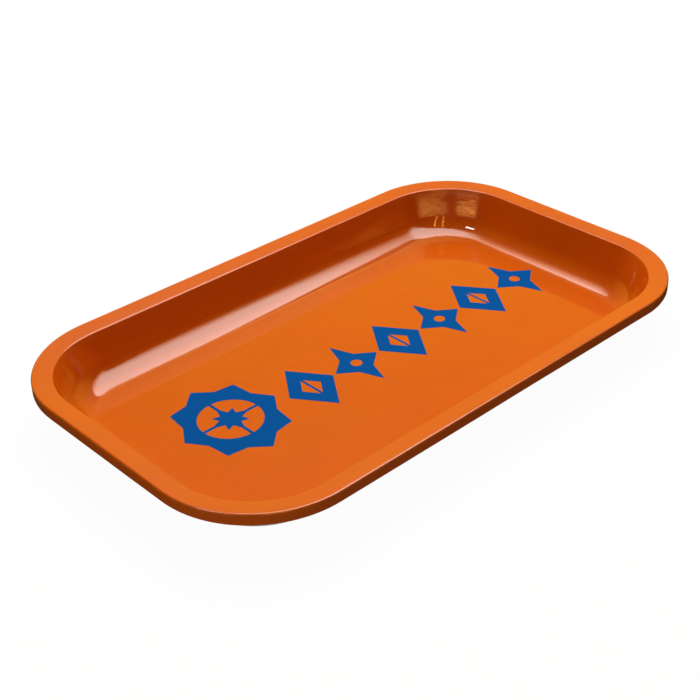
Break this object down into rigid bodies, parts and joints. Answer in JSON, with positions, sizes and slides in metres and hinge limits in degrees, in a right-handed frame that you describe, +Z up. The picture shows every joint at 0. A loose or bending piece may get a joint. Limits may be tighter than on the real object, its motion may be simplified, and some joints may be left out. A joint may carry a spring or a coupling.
{
  "type": "serving tray",
  "caption": "Shallow rounded-rectangle pressed tin tray with a deep coved wall, a rim that climbs slightly outwards, a turned-down rolled lip and a printed frieze on its floor.",
  "frame": {"origin": "middle of the flat underside, on the surface the tray rests on", "axes": "+X along the long side, in the direction the print is read; +Y across, towards the top of the print; +Z up out of the tray"},
  "size_m": [0.27, 0.1612, 0.0215],
  "materials": {
    "orange_lacquer": "glossy orange stove enamel under clear varnish on the show face, bare bright tinplate under a clear size on the back",
    "blue_ink": "flat royal blue printing ink under the same varnish"
  },
  "bodies": {
    "root": {"tray_pan": "orange_lacquer", "print_medallion": "blue_ink", "print_lozenge_1": "blue_ink", "print_lozenge_2": "blue_ink", "print_lozenge_3": "blue_ink", "print_star_1": "blue_ink", "print_star_2": "blue_ink", "print_star_3": "blue_ink"}
  },
  "joints": []
}
